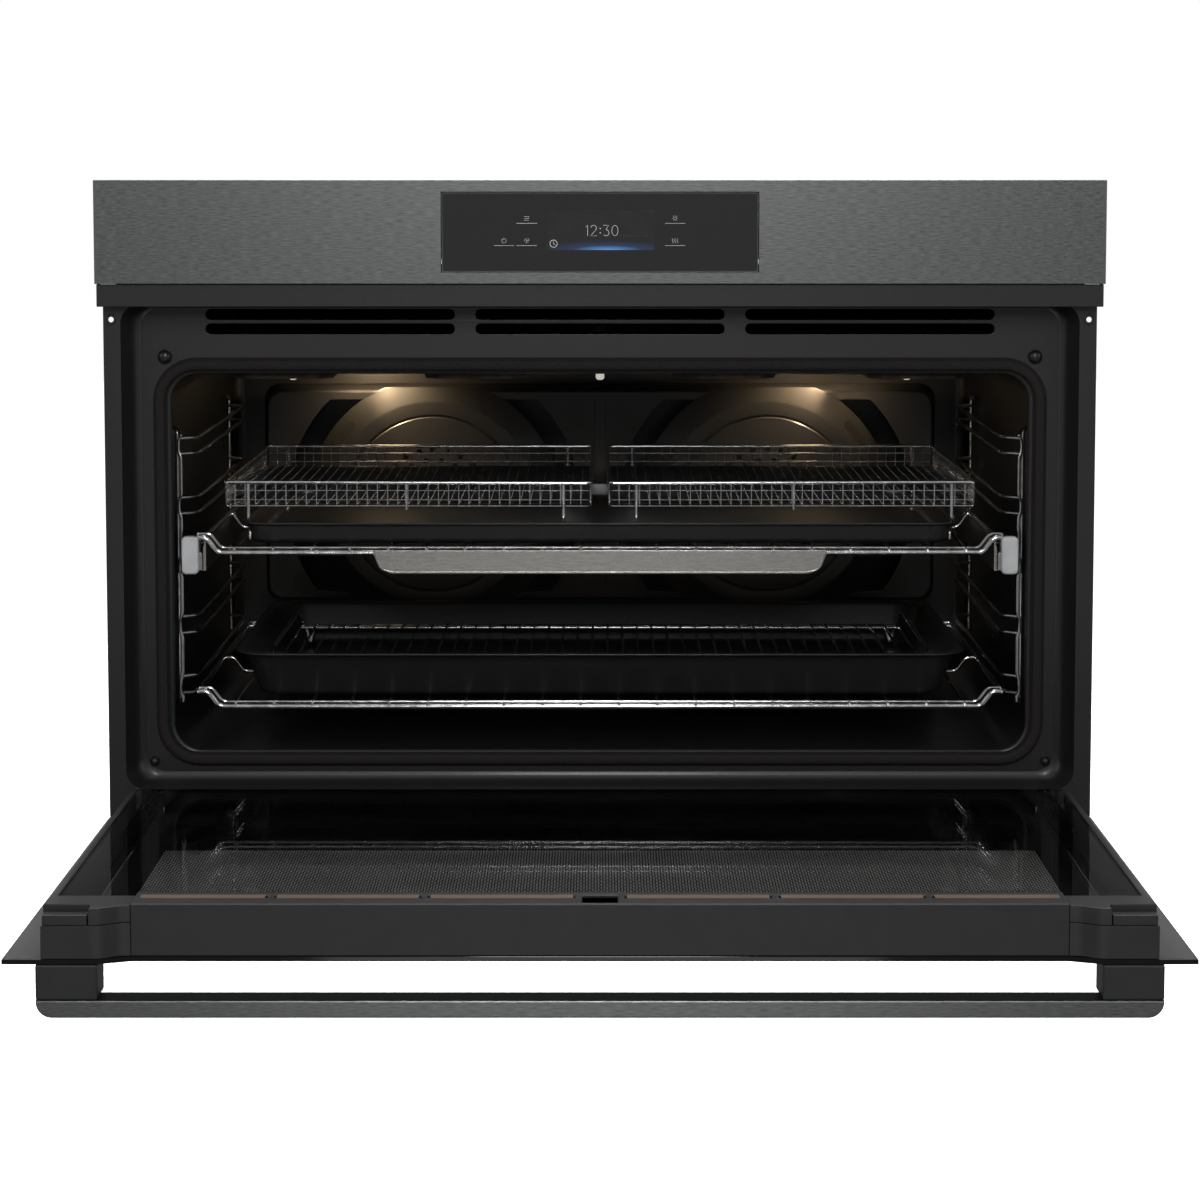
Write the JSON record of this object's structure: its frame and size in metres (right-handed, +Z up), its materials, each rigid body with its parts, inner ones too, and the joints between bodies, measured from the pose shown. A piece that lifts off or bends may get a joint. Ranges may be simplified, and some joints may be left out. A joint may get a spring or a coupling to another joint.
{
  "type": "built-in wall oven",
  "caption": "Wide built-in wall oven with drop-down glass door open, touch display fascia, wire shelves, trays and mesh baskets.",
  "frame": {"origin": "middle of the base underside, which rests on the cabinet's shelf", "axes": "+X to the viewer's right along the front, +Y into the cabinet, +Z up; the open door reaches towards -Y"},
  "size_m": [0.895, 1.008, 0.624],
  "materials": {
    "dark_steel": "brushed, dark tint",
    "stainless": "brushed",
    "chrome_wire": "polished",
    "black_enamel": "satin vitreous enamel",
    "black_glass": "polished",
    "clear_glass": "polished",
    "black_plastic": "satin",
    "pale_plastic": "satin",
    "gasket_braid": "braided glass fibre",
    "rubber": "matte",
    "galvanised": "galvanised sheet",
    "mineral_wool": "wool",
    "heater_tube": "oxidised tube",
    "circuit": "circuit board",
    "lamp_glass": "frosted"
  },
  "bodies": {
    "oven_body": {"control_fascia": "dark_steel", "display_glass": "black_glass", "lower_trim": "black_enamel", "front_frame": "black_enamel", "door_gasket": "gasket_braid", "upper_bumper_left": "rubber", "upper_bumper_right": "rubber", "lower_bumper_left": "rubber", "lower_bumper_right": "rubber", "cavity_liner": "black_enamel", "insulation": "mineral_wool", "fan_cover": "black_enamel", "fan_motor_left": "galvanised", "fan_motor_right": "galvanised", "ring_element_left": "heater_tube", "ring_element_right": "heater_tube", "oven_lamp_left": "lamp_glass", "oven_lamp_right": "lamp_glass", "grill_element": "heater_tube", "bottom_element": "heater_tube", "side_rack_left": "chrome_wire", "side_rack_right": "chrome_wire", "runner_rail_left": "stainless", "runner_rail_right": "stainless", "casing_wrap": "galvanised", "casing_base": "galvanised", "casing_rear": "galvanised", "cooling_duct": "galvanised", "control_board": "circuit", "terminal_block": "black_plastic", "hinge_arm_left": "galvanised", "hinge_arm_right": "galvanised"},
    "door": {"outer_glass": "black_glass", "middle_glass": "clear_glass", "inner_glass": "clear_glass", "door_top_cap": "black_plastic", "door_cap_end_left": "black_plastic", "door_cap_end_right": "black_plastic", "door_side_profile_left": "black_plastic", "door_side_profile_right": "black_plastic", "door_bottom_rail": "galvanised", "handle_bar": "dark_steel", "handle_post_left": "black_plastic", "handle_post_right": "black_plastic", "hinge_cassette_left": "galvanised", "hinge_cassette_right": "galvanised"},
    "upper_carriage": {"runner_slide_left": "pale_plastic", "runner_slide_right": "pale_plastic", "upper_shelf": "chrome_wire", "shelf_plate": "stainless"},
    "shallow_tray": {"shallow_tray": "black_enamel"},
    "left_basket": {"basket_left": "chrome_wire"},
    "right_basket": {"basket_right": "chrome_wire"},
    "lower_shelf": {"lower_shelf": "chrome_wire"},
    "deep_tray": {"deep_tray": "black_enamel"},
    "trivet": {"trivet": "chrome_wire"},
    "left_fan": {"convection_fan_left": "galvanised"},
    "right_fan": {"convection_fan_right": "galvanised"},
    "blower": {"blower_impeller": "galvanised"},
    "latch": {"latch_bolt": "dark_steel"}
  },
  "joints": [
    {"name": "door_hinge", "type": "hinge", "parent": "oven_body", "child": "door", "pos_m": [0, -0.286, 0.029], "axis": [-1, 0, 0], "range_deg": [0, 90]},
    {"name": "upper_runner", "type": "slide", "parent": "oven_body", "child": "upper_carriage", "axis": [0, 1, 0], "range_m": [-0.25, 0]},
    {"name": "shallow_tray_lift", "type": "slide", "parent": "upper_carriage", "child": "shallow_tray", "axis": [0, 0, 1], "range_m": [0, 0.02]},
    {"name": "left_basket_lift", "type": "slide", "parent": "shallow_tray", "child": "left_basket", "axis": [0, 0, 1], "range_m": [0, 0.04]},
    {"name": "right_basket_lift", "type": "slide", "parent": "shallow_tray", "child": "right_basket", "axis": [0, 0, 1], "range_m": [0, 0.04]},
    {"name": "lower_shelf_slide", "type": "slide", "parent": "oven_body", "child": "lower_shelf", "axis": [0, 1, 0], "range_m": [-0.25, 0]},
    {"name": "deep_tray_lift", "type": "slide", "parent": "lower_shelf", "child": "deep_tray", "axis": [0, 0, 1], "range_m": [0, 0.03]},
    {"name": "trivet_lift", "type": "slide", "parent": "deep_tray", "child": "trivet", "axis": [0, 0, 1], "range_m": [0, 0.03]},
    {"name": "left_fan_spin", "type": "hinge", "parent": "oven_body", "child": "left_fan", "pos_m": [-0.1745, 0.19, 0.2577], "axis": [0, 1, 0], "continuous": true},
    {"name": "right_fan_spin", "type": "hinge", "parent": "oven_body", "child": "right_fan", "pos_m": [0.1745, 0.19, 0.2577], "axis": [0, 1, 0], "continuous": true},
    {"name": "blower_spin", "type": "hinge", "parent": "oven_body", "child": "blower", "pos_m": [0, 0.042, 0.492], "axis": [1, 0, 0], "continuous": true},
    {"name": "latch_slide", "type": "slide", "parent": "oven_body", "child": "latch", "axis": [0, 1, 0], "range_m": [-0.012, 0]}
  ]
}
